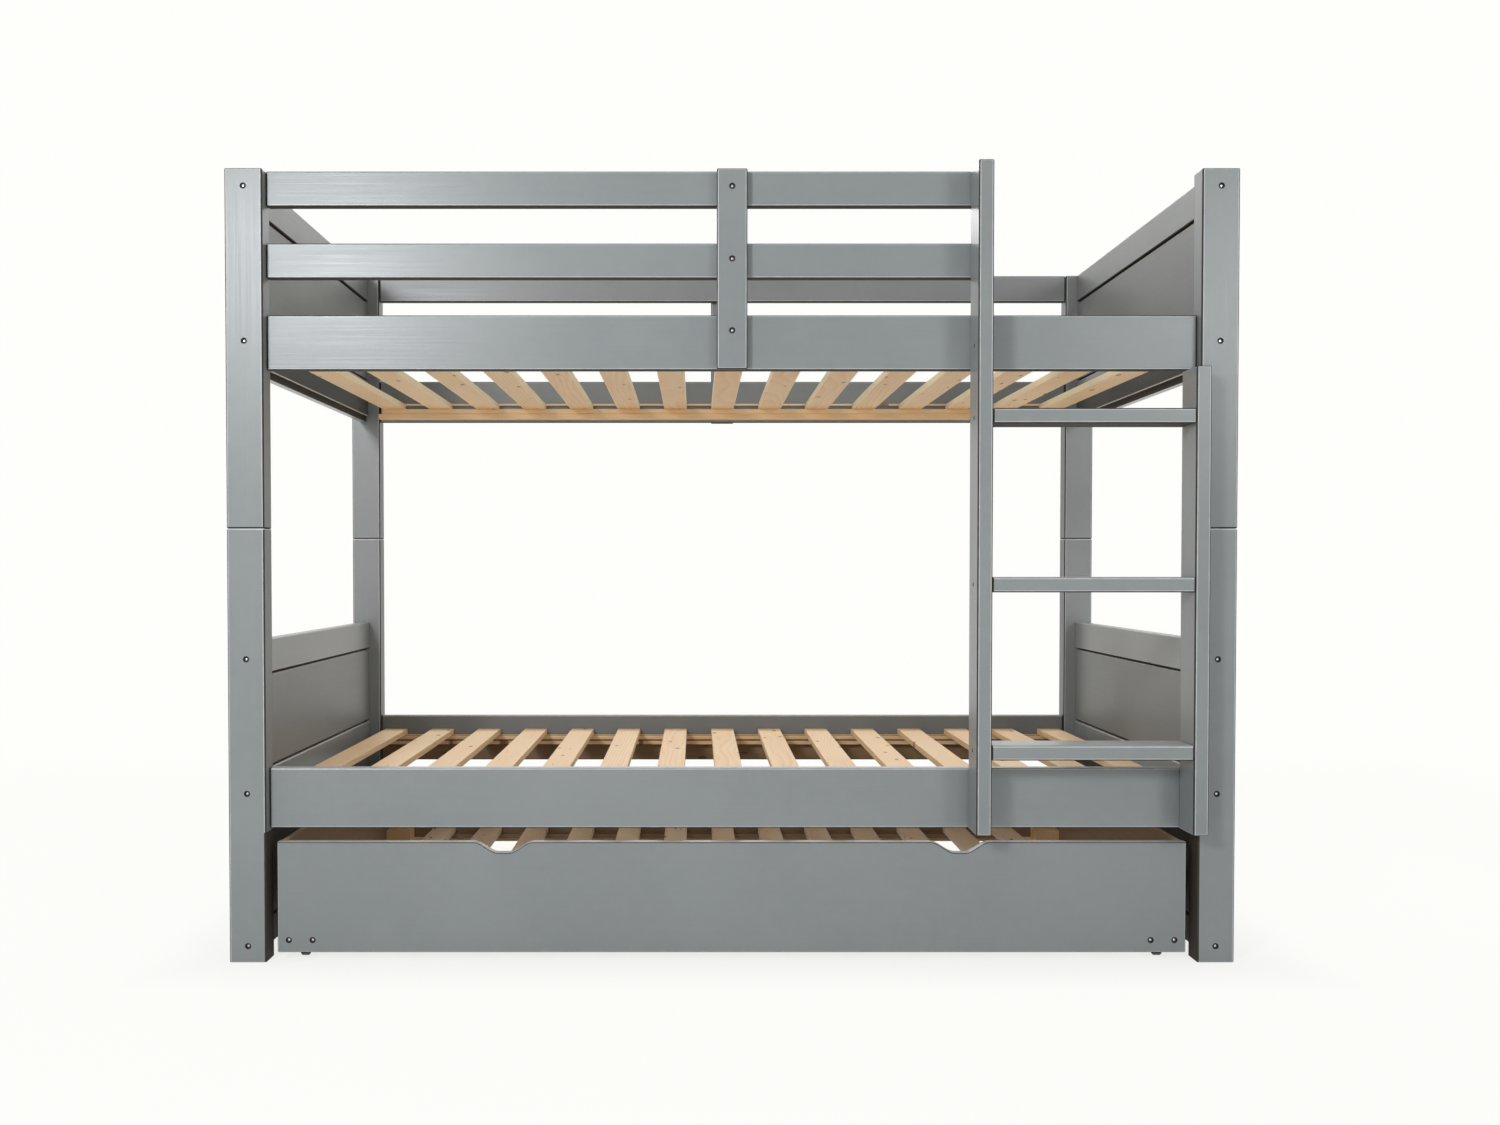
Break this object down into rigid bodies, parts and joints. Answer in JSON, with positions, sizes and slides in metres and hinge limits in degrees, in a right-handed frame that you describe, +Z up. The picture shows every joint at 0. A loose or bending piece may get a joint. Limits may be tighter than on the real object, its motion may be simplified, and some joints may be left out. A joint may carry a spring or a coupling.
{
  "type": "bunk bed with trundle",
  "caption": "Bunk bed with panelled ends, slatted decks, guard rails, a ladder at the front, and a slatted trundle that rolls out on casters.",
  "frame": {"origin": "on the floor, under the centre of the whole outline, ladder included, with the trundle pushed in", "axes": "+X along the bed to the end with the ladder, +Y from the front to the back, +Z up"},
  "size_m": [2.019, 1.152, 1.587],
  "materials": {
    "grey_paint": "solid pine under satin grey paint",
    "natural_pine": "planed, clear",
    "caster_plastic": "matte black"
  },
  "bodies": {
    "frame": {"front_left_lower_post": "grey_paint", "front_right_lower_post": "grey_paint", "back_left_lower_post": "grey_paint", "back_right_lower_post": "grey_paint", "front_left_upper_post": "grey_paint", "front_right_upper_post": "grey_paint", "back_left_upper_post": "grey_paint", "back_right_upper_post": "grey_paint", "left_lower_end_bottom_rail": "grey_paint", "left_lower_end_base_panel": "grey_paint", "left_lower_end_middle_rail": "grey_paint", "left_lower_end_panel": "grey_paint", "left_lower_end_top_rail": "grey_paint", "left_upper_end_bottom_rail": "grey_paint", "left_upper_end_panel": "grey_paint", "left_upper_end_top_rail": "grey_paint", "right_lower_end_bottom_rail": "grey_paint", "right_lower_end_base_panel": "grey_paint", "right_lower_end_middle_rail": "grey_paint", "right_lower_end_panel": "grey_paint", "right_lower_end_top_rail": "grey_paint", "right_upper_end_bottom_rail": "grey_paint", "right_upper_end_panel": "grey_paint", "right_upper_end_top_rail": "grey_paint", "front_lower_side_rail": "grey_paint", "back_lower_side_rail": "grey_paint", "front_upper_side_rail": "grey_paint", "back_upper_side_rail": "grey_paint", "front_middle_guard_rail": "grey_paint", "back_middle_guard_rail": "grey_paint", "front_top_guard_rail": "grey_paint", "back_top_guard_rail": "grey_paint", "front_centre_support": "grey_paint", "back_centre_support": "grey_paint", "ladder_left_stile": "grey_paint", "ladder_right_stile": "grey_paint", "ladder_rung_1": "grey_paint", "ladder_rung_2": "grey_paint", "ladder_rung_3": "grey_paint", "front_lower_ledger": "natural_pine", "back_lower_ledger": "natural_pine", "front_upper_ledger": "natural_pine", "back_upper_ledger": "natural_pine", "lower_slat_deck": "natural_pine", "upper_slat_deck": "natural_pine"},
    "trundle": {"trundle_front_panel": "grey_paint", "trundle_back_board": "natural_pine", "trundle_left_side_board": "natural_pine", "trundle_right_side_board": "natural_pine", "trundle_slat_deck": "natural_pine", "front_left_caster_block": "natural_pine", "front_right_caster_block": "natural_pine", "back_left_caster_block": "natural_pine", "back_right_caster_block": "natural_pine"},
    "front_left_wheel": {"front_left_caster_wheel": "caster_plastic"},
    "front_right_wheel": {"front_right_caster_wheel": "caster_plastic"},
    "back_left_wheel": {"back_left_caster_wheel": "caster_plastic"},
    "back_right_wheel": {"back_right_caster_wheel": "caster_plastic"}
  },
  "joints": [
    {"name": "trundle_slide", "type": "slide", "parent": "frame", "child": "trundle", "axis": [0, -1, 0], "range_m": [0, 1]},
    {"name": "front_left_wheel_spin", "type": "hinge", "parent": "trundle", "child": "front_left_wheel", "pos_m": [-0.8707, -0.4562, 0.02], "axis": [1, 0, 0], "continuous": true},
    {"name": "front_right_wheel_spin", "type": "hinge", "parent": "trundle", "child": "front_right_wheel", "pos_m": [0.8707, -0.4562, 0.02], "axis": [1, 0, 0], "continuous": true},
    {"name": "back_left_wheel_spin", "type": "hinge", "parent": "trundle", "child": "back_left_wheel", "pos_m": [-0.8707, 0.4762, 0.02], "axis": [1, 0, 0], "continuous": true},
    {"name": "back_right_wheel_spin", "type": "hinge", "parent": "trundle", "child": "back_right_wheel", "pos_m": [0.8707, 0.4762, 0.02], "axis": [1, 0, 0], "continuous": true}
  ],
  "couplings": [
    {"joint": "front_left_wheel_spin", "follows": "trundle_slide", "rad_per_m": 50},
    {"joint": "front_right_wheel_spin", "follows": "trundle_slide", "rad_per_m": 50},
    {"joint": "back_left_wheel_spin", "follows": "trundle_slide", "rad_per_m": 50},
    {"joint": "back_right_wheel_spin", "follows": "trundle_slide", "rad_per_m": 50}
  ]
}
